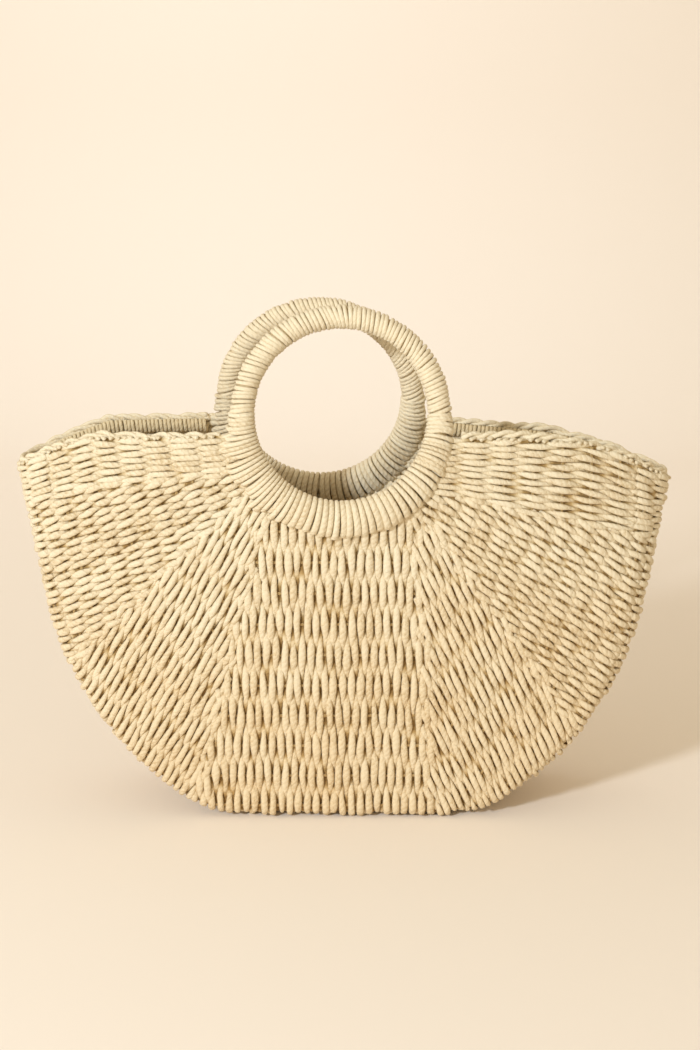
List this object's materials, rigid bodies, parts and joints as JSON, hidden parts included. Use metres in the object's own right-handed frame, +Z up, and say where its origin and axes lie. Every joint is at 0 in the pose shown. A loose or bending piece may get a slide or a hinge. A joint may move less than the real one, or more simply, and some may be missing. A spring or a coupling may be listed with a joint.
{
  "type": "straw basket bag",
  "caption": "Half-moon handbag of plain-woven paper straw, hollow and open at the top, flat at the base, with wrapped ring handles that lean together.",
  "frame": {"origin": "middle of the flat base, on the surface that the bag stands on", "axes": "+X to the bag's right end as its front is seen, -Y out of the front face, +Z up"},
  "size_m": [0.4185, 0.1104, 0.3248],
  "materials": {
    "woven_straw": "matt twisted paper straw",
    "wrapped_straw": "matt twisted paper straw, wound close"
  },
  "bodies": {
    "root": {"woven_body": "woven_straw", "front_ring_handle": "wrapped_straw", "back_ring_handle": "wrapped_straw", "front_ring_turns": "wrapped_straw", "back_ring_turns": "wrapped_straw", "left_rim_braid": "woven_straw", "right_rim_braid": "woven_straw"}
  },
  "joints": []
}
